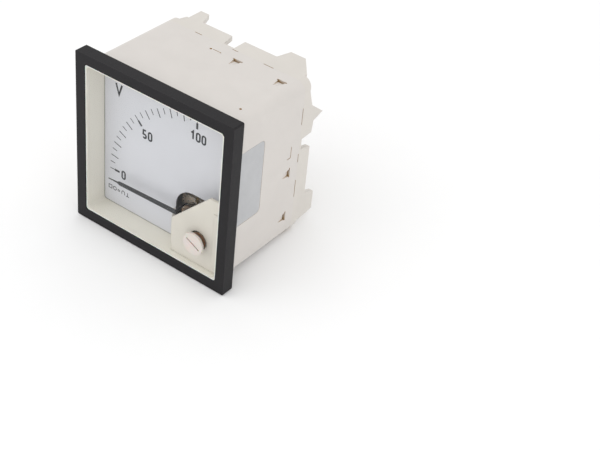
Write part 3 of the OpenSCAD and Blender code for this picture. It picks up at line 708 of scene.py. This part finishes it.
def trim():
    """Window's bead, a painted highlight along the window's front edge, the dial's bare cut edge with painted
    shade in the gap beside it, and the adjuster's washer.

    The bead lies inside the window's own edge: where the window's back and the housing's rim
    share a plane, they would render as a dark band.
    """
    # The bead takes the inside colour, painted lighter: painted light for the shade under the bezel's lip.
    bead = plastic("window_bead", INSIDE_BRIGHTENED_PLASTIC, rough=0.4, grain_mm=0.3, depth_mm=0.004,
                   mottle=0.03)
    seat = square_band(
        outer=window_high.x - 0.1 * MM, inner=INNER_HALF + 0.02 * MM,
        front=window_low.y + 0.15 * MM, back=window_high.y + 0.04 * MM,
        radius_out=3.7 * MM, radius_in=1.2 * MM, ease=0.02 * MM)
    piece("window_seat", seat, bead, "case")
    # Near-white strip just inside the bezel's lip: painted highlight along the window's edge.
    highlight_line = square_band(
        outer=OPENING_HALF - 0.02 * MM, inner=OPENING_HALF - 0.34 * MM,
        front=window_low.y - 0.05 * MM, back=window_low.y + 0.02 * MM,
        radius_out=1.0 * MM, radius_in=0.8 * MM, ease=0.03 * MM)
    piece("window_edge_highlight", highlight_line, edge_highlight_material(), "case")
    # Grey strip filling the gap between dial and wall: the dial's bare edge, and painted shade of the gap.
    bare_edge_and_gap_shade = square_band(
        outer=INNER_HALF - 0.02 * MM, inner=dial_high.x,
        front=dial_low.y, back=dial_high.y,
        radius_out=0.5 * MM, radius_in=0.3 * MM, ease=0.02 * MM)
    piece("dial_edge", bare_edge_and_gap_shade, ink_material("dial_cut_edge", linear(132, 132, 124)),
          "case")
    clip_bronze = metal("clip_bronze", linear(178, 144, 118), rough=0.34, along=(1, 1, 3),
                        grain_mm=0.18)
    piece("adjuster_clip", adjuster_clip, clip_bronze, "zero_screw")


# ---------------------------------------------------------------- camera, floor and lights

def camera():
    """Stands where the photograph's camera stood.

    Its angles in degrees, distance and shifts in metres are the ones that bring the model's
    corners onto the photographed ones. They were fitted round the middle of the bezel's front.
    """
    azimuth, elevation, roll = (math.radians(a) for a in (32.598, 37.269, 6.594))
    distance, across, up = 0.456740, 0.053394, -0.018015
    fitted_round = Vector((0, -0.0052, 0))
    back = Vector((math.sin(azimuth) * math.cos(elevation),
                   -math.cos(azimuth) * math.cos(elevation), math.sin(elevation)))
    right = (-back).cross(Vector((0, 0, 1))).normalized()
    over = right.cross(-back)
    x = math.cos(roll) * right + math.sin(roll) * over
    y = -math.sin(roll) * right + math.cos(roll) * over
    place = back * distance + x * across + y * up + fitted_round
    data = bpy.data.cameras.new("photo_camera")
    data.lens = 77.0
    data.sensor_width = 36.0
    data.clip_start, data.clip_end = 0.01, 20.0
    obj = bpy.data.objects.new("photo_camera", data)
    obj.matrix_world = Matrix.Translation(place) @ Matrix((x, y, back)).transposed().to_4x4()
    place_in_scene(obj)
    bpy.context.scene.camera = obj


def floor():
    """Pale table under the meter, tilted so that the bezel and the rear tabs both touch it."""
    half = 6.0
    gap = 0.02 * MM
    front, back = Vector((0, bezel_high.y, bezel_low.z)), Vector((0, rear_high.y, rear_low.z))
    along = (back - front).normalized()
    turn = Matrix.Rotation(math.atan2(along.z, along.y), 3, "X")
    shader = Shader("table_white", Roughness=0.8)
    grain = shader.noise(60.0, 3.0)
    shader.colour(shader.blend(grain, linear(249, 249, 249), linear(252, 252, 252)))
    mesh = bpy.data.meshes.new("table")
    bm = bmesh.new()
    bm.faces.new([bm.verts.new(turn @ Vector((x * half, y * half, 0)))
                  for x, y in ((-1, -1), (1, -1), (1, 1), (-1, 1))])
    bm.to_mesh(mesh)
    bm.free()
    mesh.materials.append(shader.material)
    obj = bpy.data.objects.new("table", mesh)
    obj.location = front + Vector((0, 0, -gap))
    place_in_scene(obj)


def lamp(name, place, target, side, watts):
    """Square area lamp, with its places and its side in metres."""
    data = bpy.data.lights.new(name, "AREA")
    data.shape = "RECTANGLE"
    data.size, data.size_y = side, side
    data.energy = watts
    obj = bpy.data.objects.new(name, data)
    obj.location = place
    obj.rotation_euler = (Vector(target) - Vector(place)).to_track_quat("-Z", "Y").to_euler()
    place_in_scene(obj)


def studio():
    """White room with three soft lamps, and colours shown as they are."""
    scene = bpy.context.scene
    scene.view_settings.view_transform = "Standard"
    scene.view_settings.look = "None"
    world = bpy.data.worlds.new("studio")
    world.use_nodes = True
    background = world.node_tree.nodes["Background"]
    background.inputs["Color"].default_value = (1, 1, 1, 1)
    background.inputs["Strength"].default_value = 1.0
    scene.world = world
    lamp("key", (-0.4, -0.7, 0.95), (0, 0, 0), side=0.9, watts=1.9)
    lamp("front", (-0.35, -1.0, 0.3), (0, 0, 0), side=0.7, watts=0.25)
    lamp("side", (0.95, -0.15, 0.45), (0, 0.02, 0), side=0.8, watts=0.4)


dress_nodes()
print_dial()
trim()
camera()
floor()
studio()
